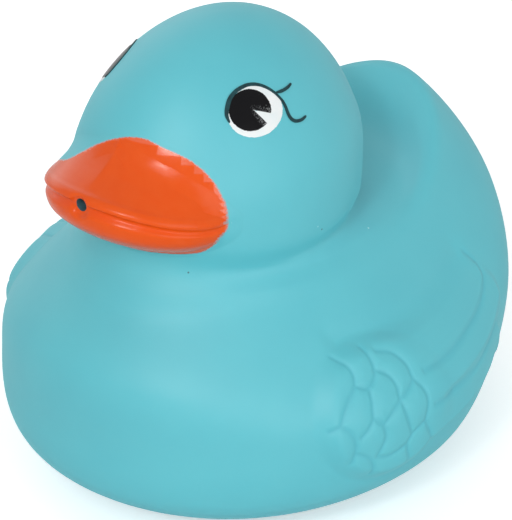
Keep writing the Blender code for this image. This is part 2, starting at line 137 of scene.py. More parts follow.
# Grooves between the shoulder's overlapping small feathers
SCALE_GROOVES = (
    ((-19.5, 41.2), (-18.2, 39.0), (-18.2, 37.3), (-19.0, 36.0)),
    ((-19.0, 36.0), (-16.6, 35.1), (-14.0, 36.5), (-13.1, 38.8), (-13.2, 41.0)),
    ((-11.0, 39.7), (-8.0, 38.5), (-6.3, 36.0), (-6.5, 33.4)),
    ((-6.5, 33.4), (-5.0, 31.2), (-5.0, 29.0), (-6.3, 25.9)),
    ((-6.3, 25.9), (-4.8, 22.8), (-3.8, 19.5)),
    ((-6.5, 33.4), (-9.0, 32.2), (-11.4, 31.6)),
    ((-13.7, 37.2), (-11.6, 36.0), (-10.7, 34.0), (-11.4, 31.6)),
    ((-11.4, 31.4), (-13.8, 30.2), (-16.2, 28.7)),
    ((-16.5, 35.2), (-17.2, 32.8), (-18.0, 30.4), (-16.2, 28.7)),
    ((-18.0, 30.4), (-19.3, 28.9), (-21.0, 27.7)),
    ((-16.2, 28.7), (-16.0, 25.8), (-17.9, 22.5)),
    ((-11.4, 31.4), (-10.6, 28.0), (-9.7, 24.5)),
    ((-9.7, 24.5), (-10.9, 22.5), (-10.0, 18.8)),
    ((-6.3, 25.9), (-8.0, 25.3), (-9.7, 24.5)),
    ((-17.9, 22.5), (-15.0, 21.7), (-11.0, 22.7)),
    ((-19.0, 36.0), (-21.2, 34.4), (-23.2, 32.6), (-24.7, 30.6)),
    ((-24.7, 30.6), (-26.7, 30.0)),
    ((-24.7, 30.6), (-22.8, 28.7), (-22.2, 25.6), (-23.2, 22.6)),
    ((-22.2, 24.5), (-19.8, 22.9), (-18.6, 20.5), (-18.8, 18.6)),
)
# The soft hollow along the top of the wing
WING_TOP_LINE = (
    (-16.5, 43.3), (-6.4, 42.6), (1.4, 41.4), (7.5, 41.2), (13.0, 42.2), (19.5, 43.6), (24.0, 45.0),
)
WING_TOP_DEPTH = 0.5
WING_TOP_WIDTH = 2.4
WING_TOP_REACH = 8.0
# The small feathers swell between their grooves
SCALE_SWELL = 0.22
SWELL_REACH = 1.3
SWELL_EDGE = 3.0
GROOVE_DEPTH = 0.24
GROOVE_WIDTH = 0.4
FEATHER_GROOVE_WIDTH = 1.4 * GROOVE_WIDTH
# Grooves under the lower edges of the long feathers
FEATHER_GROOVES = (
    ((-3.2, 33.7), (5.0, 33.6), (15.0, 35.0), (23.0, 36.8), (27.6, 39.2), (28.3, 41.6), (26.7, 44.5)),
    ((-3.2, 28.1), (4.0, 28.0), (13.0, 28.6), (23.0, 31.2), (30.0, 34.0)),
    ((-0.8, 20.4), (7.2, 21.0), (16.0, 22.3), (24.0, 25.4)),
)

# Eyes: the place of each on the head, and its painted shapes as (rearward, upward) in the eye's plane
EYE_LATITUDE = 38.3
EYE_ROUND = 66.0
# The far eye is painted a little higher and further forward than the near one
FAR_EYE_LIFT = 2.0
FAR_EYE_FORWARD = 2.0
WHITE_MIDDLE = (0.45, 0.1)
WHITE_HALF_SIZE = (6.05, 4.82)
PUPIL_MIDDLE = (-0.5, 0.76)
PUPIL_HALF_SIZE = (4.45, 4.0)
WEDGE_POINT = (0.05, 0.45)
WEDGE_TOP = -36.0
WEDGE_BOTTOM = -66.0
# Thickness of one film of paint, how deep its underside lies, and how wide the pupil's wear is
PAINT_FILM = 0.07
FILM_SINK = 0.25
WEAR_REACH = 1.1
WEAR_AT_POINT = 0.35
LID_LINE = (
    (-5.5, 0.4), (-5.3, 1.9), (-4.4, 3.2), (-3.1, 4.4), (-1.5, 5.1), (0.0, 5.3), (1.6, 5.2),
    (3.0, 4.7), (4.2, 3.9), (5.2, 2.85), (6.0, 1.6), (6.5, 0.4), (6.8, -0.7), (6.8, -2.0),
    (6.65, -3.2), (6.8, -4.3), (7.4, -5.0), (8.4, -5.35), (9.5, -5.35), (10.5, -5.1),
)
LID_WIDTHS = (
    0.3, 0.65, 0.8, 0.85, 0.8, 0.75, 0.7, 0.7, 0.7, 0.65,
    0.6, 0.55, 0.5, 0.55, 0.6, 0.65, 0.7, 0.65, 0.6, 0.4,
)
UPPER_LASH = ((6.3, 1.45), (7.3, 1.25), (8.5, 1.2), (9.7, 1.35), (10.8, 1.7))
LASH_WIDTHS = (0.35, 0.65, 0.65, 0.6, 0.4)

# Mesh spacing, fine on the wings and the bill
WING_STEP = 0.33
PLAIN_STEP = 1.7
BILL_STEP = 0.3
BILL_COLUMNS = 260
# Most pull on a loft's run beside a ring, in gaps: tight for the skin, and too large to matter elsewhere
RING_PULL = 1.35
FREE_PULL = 9.0
# Where the wing crosses the gaps between the body sections, as shares of each gap
WING_ROWS = {2: (0.1, 1.0), 3: (0.0, 1.0), 4: (0.0, 0.66)}
WING_START = 52.0
WING_END = 130.0
# The part of the skin that the wing's relief can touch, with a margin in degrees
WING_LEAST_X = 26
WING_LOWEST_Z = 10
WING_HIGHEST_Z = 50
WING_MARGIN = 4

# Camera, fitted to the photo's outline
CAMERA_AZIMUTH = 40.24
CAMERA_ELEVATION = 29.26
CAMERA_DISTANCE = 498.8
CAMERA_TARGET = (6.96, -5.6, 45.8)
CAMERA_PIXELS = 2450.4
PHOTO_LONG_SIDE = 520
SENSOR = 36.0

# Light: the world's strength, the glow that makes the floor look white, and the lamps, each with its
# place and width in metres and its power in watts
WORLD_LEVEL = 0.5
FLOOR_GLOW = 0.42
Lamp = namedtuple("Lamp", "name place size power")
LAMPS = (
    Lamp("key", (0.42, -0.90, 0.84), 0.5, 4.0),
    Lamp("glint", (0.36, -0.95, 0.80), 0.12, 1.8),
    Lamp("fill", (1.12, -0.30, 0.36), 0.8, 3.6),
    Lamp("back", (-1.00, 0.36, 0.62), 1.0, 2.2),
)
LIT_PLACE = (0, 0, 0.05)
FLOOR_HALF_SIZE = 1.5
FLOOR_Z = -0.0002


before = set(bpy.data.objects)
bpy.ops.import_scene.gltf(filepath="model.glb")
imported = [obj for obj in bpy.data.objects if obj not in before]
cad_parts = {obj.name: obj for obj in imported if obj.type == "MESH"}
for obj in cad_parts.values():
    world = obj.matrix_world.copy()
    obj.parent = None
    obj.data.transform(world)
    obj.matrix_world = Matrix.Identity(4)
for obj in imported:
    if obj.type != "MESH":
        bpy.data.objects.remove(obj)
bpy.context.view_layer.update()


# Section rings and lofts


def ring(section, middle_y, angle, lobe=2.0):
    """A section's points at the given angles from the front round by +X."""
    across, along = np.sin(angle), np.cos(angle)
    ahead = along > 0
    reach = np.where(ahead, section.front, section.tail)
    rim = np.where(ahead, section.z_front, section.z_tail)
    power = np.where(ahead, 2.0, lobe)
    height = section.z_side + (rim - section.z_side) * np.abs(along) ** power
    return np.stack([section.side * across, middle_y - reach * along, height], axis=1)


def head_section(latitude):
    """The egg's ring at a latitude in degrees."""
    rise = math.sin(math.radians(latitude))
    run = math.cos(math.radians(latitude))
    height = HEAD_Z + HEAD_HALF_HEIGHT * rise
    return Section(
        side=HEAD_HALF_WIDTH * run * (1 - CHEEK_FULLNESS * rise),
        front=HEAD_FRONT * run,
        tail=HEAD_BACK * run,
        z_side=height,
        z_front=height,
        z_tail=height,
    )


def shorten(runs, most):
    """Runs cut down to at most the given lengths."""
    lengths = np.maximum(np.linalg.norm(runs, axis=1, keepdims=True), 1e-9)
    return runs * np.minimum(1, most / lengths)


def blend_rings(rings, shares, pull=FREE_PULL):
    """Smooth rings through the given ones, at shares[i] of the way across the gap after ring i.

    A ring's pull on the run of the surface is at most pull times the gap, so short gaps don't fold.
    """
    padded = [2 * rings[0] - rings[1], *rings, 2 * rings[-1] - rings[-2]]
    smooth = []
    for gap, places in enumerate(shares):
        before, start, end, after = padded[gap:gap + 4]
        most = pull * np.linalg.norm(end - start, axis=1, keepdims=True)
        leave, arrive = (end - before) / 2, (after - start) / 2
        leave = shorten(leave, most)
        arrive = shorten(arrive, most)
        for t in places:
            smooth.append(
                (2 * t ** 3 - 3 * t ** 2 + 1) * start
                + (t ** 3 - 2 * t ** 2 + t) * leave
                + (3 * t ** 2 - 2 * t ** 3) * end
                + (t ** 3 - t ** 2) * arrive
            )
    smooth.append(rings[-1])
    return np.array(smooth)


def even_shares(rings, step):
    """Places across each gap that lie about a step apart where the gap is widest."""
    widths = [np.linalg.norm(b - a, axis=1).max() for a, b in zip(rings, rings[1:])]
    return [np.arange(count) / count for count in (max(1, round(width / step)) for width in widths)]


def smooth_line(points, step):
    """A smooth open line through points, about a step apart."""
    rings = [np.array([point], dtype=float) for point in points]
    return blend_rings(rings, even_shares(rings, step))[:, 0, :]


def grid_normals(grid):
    """Outward normals of a closed grid of rings."""
    around = np.roll(grid, -1, axis=1) - np.roll(grid, 1, axis=1)
    upward = np.gradient(grid, axis=0)
    normal = np.cross(around, upward)
    return normal / np.maximum(np.linalg.norm(normal, axis=2, keepdims=True), 1e-9)


def grid_faces(rows, columns):
    """Quads of a grid closed round its columns, then a fan at each end to two more points."""
    row, column = np.meshgrid(np.arange(rows - 1), np.arange(columns), indexing="ij")
    beside = (column + 1) % columns
    low, high = row * columns, (row + 1) * columns
    quads = np.stack([low + column, low + beside, high + beside, high + column], axis=-1).reshape(-1, 4)
    bottom, top = rows * columns, rows * columns + 1
    crown = (rows - 1) * columns
    fans = []
    for i in range(columns):
        j = (i + 1) % columns
        fans.append((bottom, j, i))
        fans.append((top, crown + i, crown + j))
    return quads.tolist() + fans


def smooth_step(x):
    x = np.clip(x, 0.0, 1.0)
    return x * x * (3 - 2 * x)


def make_piece(name, points, faces, materials):
    """A smooth-shaded object from points in millimetres."""
    mesh = bpy.data.meshes.new(name)
    mesh.from_pydata([tuple(point) for point in np.asarray(points) * MM], [], faces)
    for material in materials:
        mesh.materials.append(material)
    mesh.update()
    mesh.shade_smooth()
    piece = bpy.data.objects.new(name, mesh)
    bpy.context.scene.collection.objects.link(piece)
    return piece


def surface_of(piece):
    """A tree for finding places on a piece, in millimetres."""
    return BVHTree.FromPolygons(
        [vertex.co / MM for vertex in piece.data.vertices],
        [tuple(polygon.vertices) for polygon in piece.data.polygons],
    )


def piece_points(piece):
    """A piece's points in millimetres, as an array."""
    flat = np.empty(len(piece.data.vertices) * 3)
    piece.data.vertices.foreach_get("co", flat)
    return flat.reshape(-1, 3) / MM


def store(piece, name, values):
    """Keeps one number for each point of a piece, for its material to read."""
    piece.data.attributes.new(name, "FLOAT", "POINT").data.foreach_set("value", values.astype(np.float32))


# Wing relief


def line_distance(lines, y, z, reach=4.0):
    """Distance from each place to the nearest of some smooth lines, up to a reach."""
    nearest = np.full(y.shape, reach)
    for line in lines:
        path = smooth_line(line, 0.6)
        close = (
            (y > path[:, 0].min() - reach) & (y < path[:, 0].max() + reach)
            & (z > path[:, 1].min() - reach) & (z < path[:, 1].max() + reach)
        )
        places = np.stack([y[close], z[close]], axis=1)
        best = nearest[close]
        for start, end in zip(path, path[1:]):
            run = end - start
            share = np.clip(((places - start) @ run) / (run @ run), 0, 1)
            gap = places - start - share[:, None] * run
            best = np.minimum(best, np.hypot(gap[:, 0], gap[:, 1]))
        nearest[close] = best
    return nearest


def feather_line(feather, count=120):
    """Points along a feather's middle line, ending a tip's radius short of its tip."""
    knots = np.array([feather.start, feather.bend, feather.rear, feather.tip])
    end = 1 - feather.tip_half_width / math.dist(feather.start, feather.tip)
    t = np.linspace(0, end, count)[:, None]
    weights = ((1 - t) ** 3, 3 * t * (1 - t) ** 2, 3 * t ** 2 * (1 - t), t ** 3)
    return sum(weight * knot for weight, knot in zip(weights, knots)), t[:, 0]


def lay_feather(feather, y, z, below, top_edge):
    """A long feather laid over what is below it: thick at its lower edge and thin at its upper."""
    line, t_line = feather_line(feather)
    run = np.gradient(line, axis=0)
    run /= np.linalg.norm(run, axis=1, keepdims=True)
    places = np.stack([y, z], axis=1)
    gap = ((places[:, None, :] - line[None, :, :]) ** 2).sum(axis=2)
    near = gap.argmin(axis=1)
    off = places - line[near]
    up = off[:, 1] * run[near, 0] - off[:, 0] * run[near, 1]
    t = t_line[near]
    width = feather.root_half_width + (feather.tip_half_width - feather.root_half_width) * t
    inside = width - np.sqrt(gap.min(axis=1))
    share = np.clip((up + width) / (2 * width), 0, 1)
    level = WING_HEIGHT * (1 - FEATHER_THINNING * t ** 2) - FEATHER_LIFT * share
    edge = np.where(up > 0, top_edge, FEATHER_EDGE)
    cover = smooth_step((inside + FEATHER_SPREAD * edge) / edge)
    return below * (1 - cover) + level * cover


def wing_relief(y, z):
    """How far the wing stands out of the flank at each place, and how deep in a groove it is."""
    height = np.zeros_like(y)
    for i, feather in reversed(list(enumerate(FEATHERS))):
        height = lay_feather(feather, y, z, height, FEATHER_TOP_EDGE if i == 0 else FEATHER_EDGE)
    out = np.hypot(2 * (y - SHOULDER_Y) / SHOULDER_LENGTH, 2 * (z - SHOULDER_Z) / SHOULDER_HEIGHT)
    inside = (1 - out) * SHOULDER_HEIGHT / 2
    shoulder = smooth_step((inside + SHOULDER_SPREAD) / SHOULDER_EDGE)
    height = height * (1 - shoulder) + WING_HEIGHT * shoulder
    to_scale = line_distance(SCALE_GROOVES, y, z)
    to_feather = line_distance(FEATHER_GROOVES, y, z)
    swell = 1 - np.exp(-(to_scale / SWELL_REACH) ** 2)
    height += SCALE_SWELL * (swell - 1) * smooth_step((inside + SHOULDER_SPREAD) / SWELL_EDGE)
    # The groove profile deepens the relief, and the material also darkens the vinyl by it as painted
    # shade
    groove_and_shade = np.maximum(
        np.exp(-(to_scale / GROOVE_WIDTH) ** 2),
        np.exp(-(to_feather / FEATHER_GROOVE_WIDTH) ** 2),
    )
    to_top = line_distance([WING_TOP_LINE], y, z, WING_TOP_REACH)
    height -= WING_TOP_DEPTH * np.exp(-(to_top / WING_TOP_WIDTH) ** 2)
    return height - GROOVE_DEPTH * groove_and_shade, groove_and_shade


# Paint on the vinyl

# Place of the bore's material after the two coats
INSIDE_INDEX = 2


def paint_depth(points):
    """How far inside the orange paint's edge each point lies, in millimetres."""
    edge = smooth_line((*PAINT_EDGE, PAINT_EDGE[0]), 0.4)
    edge_turn = np.arctan2(edge[:, 1] - PAINT_MIDDLE[1], edge[:, 0] - PAINT_MIDDLE[0])
    edge_reach = np.hypot(edge[:, 1] - PAINT_MIDDLE[1], edge[:, 0] - PAINT_MIDDLE[0])
    x, y, z = np.asarray(points).T
    turn = np.arctan2(z - PAINT_MIDDLE[1], x - PAINT_MIDDLE[0])
    reach = np.hypot(z - PAINT_MIDDLE[1], x - PAINT_MIDDLE[0])
    depth = np.interp(turn, edge_turn, edge_reach, period=2 * math.pi) - reach
    depth += PAINT_FORWARD_SLOPE * np.maximum(0.0, PAINT_FORWARD_Y - y) * (z > PAINT_LOWEST_Z)
    depth = np.clip(depth, -PAINT_MOST_DEPTH, PAINT_MOST_DEPTH)
    return np.where(y > PAINT_BACK_Y, -PAINT_MOST_DEPTH, depth)


def paint_faces(piece, lowest_z=-math.inf):
    """Stores the paint's depth on a piece, and gives the faces in the paint the second material."""
    points = piece_points(piece)
    depth = np.minimum(paint_depth(points), points[:, 2] - lowest_z)
    store(piece, "paint", depth)
    for polygon in piece.data.polygons:
        # The walls of the bore keep their own material
        if polygon.material_index != INSIDE_INDEX:
            polygon.material_index = int(depth[list(polygon.vertices)].min() > 0)


# The skin


def wing_columns():
    """Angles round the body, close together where the wings are."""
    start, end = math.radians(WING_START), math.radians(WING_END)
    reach = (BELLY.side + BELLY.front) / 2
    half = np.concatenate([
        np.linspace(0, start, round(start * reach / PLAIN_STEP), endpoint=False),
        np.linspace(start, end, round((end - start) * reach / WING_STEP), endpoint=False),
        np.linspace(end, math.pi, round((math.pi - end) * reach / PLAIN_STEP), endpoint=False),
    ])
    return np.concatenate([half, [math.pi], 2 * math.pi - half[1:][::-1]])


def wing_shares(rings, angle):
    """Places across each gap between the skin's rings, close together where the wings are."""
    beside = np.abs(angle - math.pi / 2).argmin()
    shares = []
    for gap, (low, high) in enumerate(zip(rings, rings[1:])):
        start, end = WING_ROWS.get(gap, (1.0, 1.0))
        widest = np.linalg.norm(high - low, axis=1).max()
        side = np.linalg.norm(high[beside] - low[beside])
        stretches = (
            (0, start, widest / PLAIN_STEP),
            (start, end, side / WING_STEP),
            (end, 1, widest / PLAIN_STEP),
        )
        shares.append(np.concatenate([
            np.linspace(a, b, max(1, round((b - a) * density)), endpoint=False)
            for a, b, density in stretches if b > a
        ]))
    return shares


def make_skin(materials):
    """Head, neck, body and tail as one surface, with the wings raised out of it."""
    angle = wing_columns()
    body = [ring(section, 0.0, angle, TAIL_LOBE) for section in BODY_SECTIONS]
    neck = [ring(section, HEAD_Y, angle, TAIL_LOBE) for section in NECK_SECTIONS]
    head = [ring(head_section(latitude), HEAD_Y, angle) for latitude in HEAD_LATITUDES]
    rings = [*body, *neck, *head]
    grid = blend_rings(rings, wing_shares(rings, angle), RING_PULL)
    grid[:, :, 2] = np.maximum(grid[:, :, 2], 0.0)
    normal = grid_normals(grid)
    wing = np.abs(grid[:, :, 0]) > WING_LEAST_X
    wing &= (grid[:, :, 2] > WING_LOWEST_Z) & (grid[:, :, 2] < WING_HIGHEST_Z)
    wing &= (np.abs(np.sin(angle)) > math.sin(math.radians(WING_START - WING_MARGIN)))[None, :]
    height, groove_and_shade = wing_relief(grid[:, :, 1][wing], grid[:, :, 2][wing])
    depth = np.zeros(grid.shape[:2])
    depth[wing] = groove_and_shade
    grid[wing] += normal[wing] * height[:, None]
    rows, columns = grid.shape[:2]
    poles = [(0.0, 0.0, 0.0), (0.0, HEAD_Y, HEAD_Z + HEAD_HALF_HEIGHT)]
    points = np.concatenate([grid.reshape(-1, 3), poles])
    skin = make_piece("duck_skin", points, grid_faces(rows, columns), materials)
    # Kept for the material, which darkens the vinyl in the grooves as painted shade
    store(skin, "groove_and_shade", np.append(depth.ravel(), (0.0, 0.0)))
    paint_faces(skin, THROAT_PAINT_Z)
    return skin


# The bill


def bill_grid():
    """The bill's surface as a closed grid, from the throat up to the crest."""
    angle = np.linspace(0, 2 * math.pi, BILL_COLUMNS, endpoint=False)
    rings = []
    for section in BILL_SECTIONS[::-1]:
        one = ring(section, HEAD_Y + BILL_ROOT_Y, angle)
        one[:, 2] += HEAD_Z + BILL_ROOT_Z
        rings.append(one)
    shares = even_shares(rings, BILL_STEP)
    grid = blend_rings(rings, shares)
    # Between the lip and the crest, both facets are hollowed beside the ridge
    rise = np.interp(
        np.concatenate([gap + places for gap, places in enumerate(shares)] + [[len(shares)]]),
        (len(shares) - 4, len(shares) - 3, len(shares) - 1, len(shares)),
        (0.0, 1.0, 1.0, 0.0),
    )
    off = np.abs(grid[:, :, 0]) / FACET_MIDDLE
    ahead = np.cos(angle) > 0
    hollow = FACET_HOLLOW * rise[:, None] * off * np.exp(1 - off) * ahead[None, :]
    grid[:, :, 2] -= hollow
    # The lips are cut back flush round the squirt hole
    mouth_y = HEAD_Y + BILL_ROOT_Y - MOUTH.front
    off = np.hypot(grid[:, :, 0], grid[:, :, 2] - HEAD_Z - BILL_ROOT_Z - MOUTH.z_front)
    flush = smooth_step(FLUSH_RADIUS - off) * (grid[:, :, 1] < mouth_y)
    grid[:, :, 1] += flush * (mouth_y - grid[:, :, 1])
    return grid


def cut_hole(bill, inside):
    """Bores the squirt hole into the bill on its mouth line."""
    radius = HOLE_DIAMETER / 2 * MM
    bore = bpy.data.meshes.new("bore")
    shape = bmesh.new()
    bmesh.ops.create_cone(
        shape, cap_ends=True, segments=HOLE_SIDES, radius1=radius, radius2=radius,
        depth=2 * HOLE_DEPTH * MM,
    )
    shape.to_mesh(bore)
    shape.free()
    for material in (*bill.data.materials, inside):
        bore.materials.append(material)
    bore.polygons.foreach_set("material_index", [INSIDE_INDEX] * len(bore.polygons))
    cutter = bpy.data.objects.new("bore", bore)
    bpy.context.scene.collection.objects.link(cutter)
    cutter.rotation_euler = (math.pi / 2, 0, 0)
    tip = (0, HEAD_Y + BILL_ROOT_Y - MOUTH.front, HEAD_Z + BILL_ROOT_Z + MOUTH.z_front + HOLE_LIFT)
    cutter.location = Vector(tip) * MM
    bill.data.materials.append(inside)
    change = bill.modifiers.new("bore", "BOOLEAN")
    change.operation = "DIFFERENCE"
    change.solver = "EXACT"
    change.object = cutter
    bpy.context.view_layer.update()
    cut = bpy.data.meshes.new_from_object(bill.evaluated_get(bpy.context.evaluated_depsgraph_get()))
    bill.modifiers.clear()
    bill.data = cut
    bpy.data.objects.remove(cutter, do_unlink=True)


def make_bill(materials, inside):
    grid = bill_grid()
    rows, columns = grid.shape[:2]
    points = np.concatenate([grid.reshape(-1, 3), [grid[0].mean(axis=0), grid[-1].mean(axis=0)]])
    bill = make_piece("bill", points, grid_faces(rows, columns), materials)
    cut_hole(bill, inside)
    bill.data.shade_smooth()
    bill.data.set_sharp_from_angle(angle=math.radians(50))
    paint_faces(bill)
    return bill


def first_hit(surface, x, z):
    """The first place that a ray from the front meets a surface, or None."""
    return surface.ray_cast(Vector((x, RAY_START_Y, z)), Vector((0, 1, 0)))[0]


def root_reach(bill_surface, head_surface, turn):
    """How far from the paint's middle the bill meets the head, in one direction seen from the front."""
    low, high = ROOT_NEAREST, ROOT_FURTHEST
    for _ in range(ROOT_HALVINGS):
        reach = (low + high) / 2
        x = PAINT_MIDDLE[0] + reach * math.cos(turn)
        z = PAINT_MIDDLE[1] + reach * math.sin(turn)
        on_bill = first_hit(bill_surface, x, z)
        on_head = first_hit(head_surface, x, z)
        if on_bill and (not on_head or on_bill.y < on_head.y):
            low = reach
        else:
            high = reach
    return low


def make_root_fillet(bill, skin, materials, sides=420, steps=10, sink=0.04):
    """A soft fillet all round, where the bill grows out of the head."""
    bill_surface, head_surface = surface_of(bill), surface_of(skin)
    turns = np.linspace(0, 2 * math.pi, sides, endpoint=False)
    reaches = np.array([root_reach(bill_surface, head_surface, turn) for turn in turns])
    # The root's line is smoothed over a few neighbours
    spread = np.exp(-np.linspace(-2, 2, 13) ** 2)
    wrapped = np.concatenate([reaches[-6:], reaches, reaches[:6]])
    reaches = np.convolve(wrapped, spread / spread.sum(), "valid")
    rows = []
    for turn, reach in zip(turns, reaches):
        line = []
        for surface, past in (
            (bill_surface, -ROOT_FILLET),
            (head_surface, 0.0),
            (head_surface, ROOT_FILLET),
        ):
            x = PAINT_MIDDLE[0] + (reach + past) * math.cos(turn)
            z = PAINT_MIDDLE[1] + (reach + past) * math.sin(turn)
            line.append(first_hit(surface, x, z))
        ends = [place + Vector((0, sink, 0)) for place in (line[0], line[2])]
        for step in range(steps + 1):
            t = step / steps
            rows.append(ends[0] * (1 - t) ** 2 + line[1] * 2 * t * (1 - t) + ends[1] * t ** 2)
    count = steps + 1
    faces = []
    for i in range(sides):
        j = (i + 1) % sides
        for k in range(steps):
            faces.append((i * count + k, i * count + k + 1, j * count + k + 1, j * count + k))
    fillet = make_piece("bill_root", [tuple(place) for place in rows], faces, materials)
    paint_faces(fillet)
    return fillet


# Painted eyes


class EyePlane:
    """Lays shapes given as (rearward, upward) in the eye's plane onto the head."""

    def __init__(self, surface, side, lift=0.0, forward=0.0):
        section = head_section(EYE_LATITUDE)
        turn = math.radians(EYE_ROUND)
        middle = Vector((
            side * section.side * math.sin(turn),
            HEAD_Y - section.front * math.cos(turn),
            section.z_side,
        ))
        self.surface = surface
        self.normal = surface.find_nearest(middle)[1]
        ahead = Vector((0, -1, 0))
        self.ahead = (ahead - self.normal * ahead.dot(self.normal)).normalized()
        up = self.normal.cross(self.ahead)
        self.up = up if up.z > 0 else -up
        self.middle = middle + self.up * lift + self.ahead * forward

    def lay(self, rearward, upward, film):
        start = self.middle - self.ahead * rearward + self.up * upward + self.normal * 10
        place, normal, _, _ = self.surface.ray_cast(start, -self.normal)
        return place + normal * film


def film_patch(plane, rows, film):
    """A closed thin patch over a grid of (rearward, upward) rows."""
    count = len(rows[0])
    top = [plane.lay(s, t, film) for row in rows for s, t in row]
    low = [plane.lay(s, t, -FILM_SINK) for row in rows for s, t in row]
    half = len(top)
    faces = []
    for i in range(len(rows) - 1):
        for j in range(count - 1):
            a = i * count + j
            quad = (a, a + 1, a + count + 1, a + count)
            faces.append(quad)
            faces.append(tuple(half + k for k in quad[::-1]))
    rim = list(range(count))
    rim += [i * count + count - 1 for i in range(1, len(rows))]
    rim += [(len(rows) - 1) * count + j for j in range(count - 2, -1, -1)]
    rim += [i * count for i in range(len(rows) - 2, 0, -1)]
    for a, b in zip(rim, rim[1:] + rim[:1]):
        faces.append((a, half + a, half + b, b))
    return top + low, faces


def stroke_rows(points, widths):
    """Rows across a painted line of changing width, with round ends."""
    line = smooth_line(points, 0.2)
    run = np.gradient(line, axis=0)
    run /= np.linalg.norm(run, axis=1, keepdims=True)
    side = np.stack([-run[:, 1], run[:, 0]], axis=1)
    place = np.linspace(0, 1, len(line))
    width = np.interp(place, np.linspace(0, 1, len(widths)), widths)
    length = np.linalg.norm(np.diff(line, axis=0), axis=1).sum()
    to_end = np.minimum(place, 1 - place) * length
    width *= np.sqrt(np.clip(1 - (1 - np.clip(2 * to_end / width, 0, 1)) ** 2, 0.02, 1))
    shares = (-0.5, -0.25, 0.0, 0.25, 0.5)
    return [[tuple(p + n * w * share) for share in shares] for p, n, w in zip(line, side, width)]


def oval_rows(point, middle, half_size, start, end, rough, seed):
    """Rows from a point out to an oval's rim, between two angles in degrees."""
    sides = round((end - start) / 2.5)
    wobble = np.random.default_rng(seed).normal(0, 1, sides + 1) * rough
    rows = []
    for i in range(sides + 1):
        turn = math.radians(start + (end - start) * i / sides)
        rim = (
            middle[0] + half_size[0] * (1 + wobble[i]) * math.cos(turn),
            middle[1] + half_size[1] * (1 + wobble[i]) * math.sin(turn),
        )
        rows.append([
            (point[0] + (rim[0] - point[0]) * share, point[1] + (rim[1] - point[1]) * share)
            for share in (0.02, 0.25, 0.5, 0.75, 0.9, 1.0)
        ])
    return rows


def join_patches(patches):
    """Several patches as one list of points and one of faces."""
    points, faces = [], []
    for some_points, some_faces in patches:
        start = len(points)
        points += some_points
        faces += [tuple(start + k for k in face) for face in some_faces]
    return points, faces


def make_eye(name, plane, white, black, lid_black):
    """The white, the pupil with its wedge left out, and the lid line with its lashes."""
    sclera = film_patch(
        plane,
        oval_rows(WHITE_MIDDLE, WHITE_MIDDLE, WHITE_HALF_SIZE, 0, 360, 0.005, 3),
        PAINT_FILM,
    )
    pupil = film_patch(
        plane,
        oval_rows(WEDGE_POINT, PUPIL_MIDDLE, PUPIL_HALF_SIZE, WEDGE_TOP, 360 + WEDGE_BOTTOM, 0.008, 5),
        2 * PAINT_FILM,
    )
    lines = join_patches([
        film_patch(plane, stroke_rows(LID_LINE, LID_WIDTHS), 2.5 * PAINT_FILM),
        film_patch(plane, stroke_rows(UPPER_LASH, LASH_WIDTHS), 2.3 * PAINT_FILM),
    ])
    made = []
    for part, (points, faces), material in (
        ("white", sclera, white),
        ("pupil", pupil, black),
        ("lid", lines, lid_black),
    ):
        piece = make_piece(f"{name}_{part}", [tuple(place) for place in points], faces, [material])
        shape = bmesh.new()
        shape.from_mesh(piece.data)
        bmesh.ops.recalc_face_normals(shape, faces=shape.faces)
        shape.to_mesh(piece.data)
        shape.free()
        piece.data.shade_smooth()
        piece.data.set_sharp_from_angle(angle=math.radians(40))
        made.append(piece)
    wedge_turns = [math.radians(turn) for turn in (WEDGE_TOP, WEDGE_BOTTOM)]
    places = piece_points(made[1])
    tip = np.array(plane.lay(*WEDGE_POINT, 0.0))
    wear = np.zeros(len(places))
    for turn in wedge_turns:
        rim = np.array(plane.lay(
            PUPIL_MIDDLE[0] + PUPIL_HALF_SIZE[0] * math.cos(turn),
            PUPIL_MIDDLE[1] + PUPIL_HALF_SIZE[1] * math.sin(turn),
            0.0,
        ))
        share = np.clip((places - tip) @ (rim - tip) / ((rim - tip) @ (rim - tip)), 0, 1)
        gap = np.linalg.norm(places - tip - share[:, None] * (rim - tip), axis=1)
        strength = WEAR_AT_POINT + (1 - WEAR_AT_POINT) * share
        wear = np.maximum(wear, np.exp(-(gap / WEAR_REACH) ** 2) * strength)
    store(made[1], "wear", wear)
    return made


# Materials


